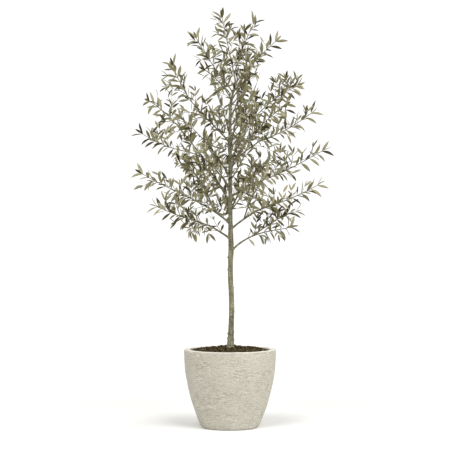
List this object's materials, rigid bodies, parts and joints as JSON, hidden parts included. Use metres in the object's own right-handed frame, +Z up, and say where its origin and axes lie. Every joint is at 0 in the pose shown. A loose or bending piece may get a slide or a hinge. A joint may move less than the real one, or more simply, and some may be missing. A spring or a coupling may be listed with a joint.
{
  "type": "potted olive tree",
  "caption": "Young olive tree on one straight stem, with an open crown of narrow grey-green leaves, in a round tapered planter that stands on its flat underside.",
  "frame": {"origin": "centre of the pot's flat underside, level with what the pot stands on", "axes": "+Z up along the stem, +X to the tree's right seen from its front, -Y towards its front"},
  "size_m": [0.9818, 0.7874, 2.092],
  "materials": {
    "pot": "rough brushed cast stone, matt",
    "soil": "dark crumbly potting compost, matt",
    "bark": "smooth grey-olive bark, matt",
    "foliage": "leathery leaves, grey-green above and pale grey below, satin"
  },
  "bodies": {
    "root": {"bough_front_left": "bark", "bough_front_left_low": "bark", "bough_front_right": "bark", "bough_leader": "bark", "bough_left_front_top": "bark", "bough_left_high": "bark", "bough_left_low": "bark", "bough_left_middle": "bark", "bough_left_rear_low": "bark", "bough_left_rear_upper": "bark", "bough_left_top": "bark", "bough_left_upper": "bark", "bough_left_wide": "bark", "bough_rear_low": "bark", "bough_rear_middle": "bark", "bough_rear_upper": "bark", "bough_right_fork": "bark", "bough_right_front": "bark", "bough_right_front_top": "bark", "bough_right_front_upper": "bark", "bough_right_high": "bark", "bough_right_leader": "bark", "bough_right_low": "bark", "bough_right_middle": "bark", "bough_right_rear": "bark", "bough_right_top": "bark", "bough_right_upper": "bark", "bough_right_wide": "bark", "foliage_front_left": "foliage", "foliage_front_left_low": "foliage", "foliage_front_right": "foliage", "foliage_leader": "foliage", "foliage_left_front_top": "foliage", "foliage_left_high": "foliage", "foliage_left_low": "foliage", "foliage_left_middle": "foliage", "foliage_left_rear_low": "foliage", "foliage_left_rear_upper": "foliage", "foliage_left_top": "foliage", "foliage_left_upper": "foliage", "foliage_left_wide": "foliage", "foliage_rear_low": "foliage", "foliage_rear_middle": "foliage", "foliage_rear_upper": "foliage", "foliage_right_fork": "foliage", "foliage_right_front": "foliage", "foliage_right_front_top": "foliage", "foliage_right_front_upper": "foliage", "foliage_right_high": "foliage", "foliage_right_leader": "foliage", "foliage_right_low": "foliage", "foliage_right_middle": "foliage", "foliage_right_rear": "foliage", "foliage_right_top": "foliage", "foliage_right_upper": "foliage", "foliage_right_wide": "foliage", "pot": "pot", "soil": "soil", "trunk": "bark"}
  },
  "joints": []
}
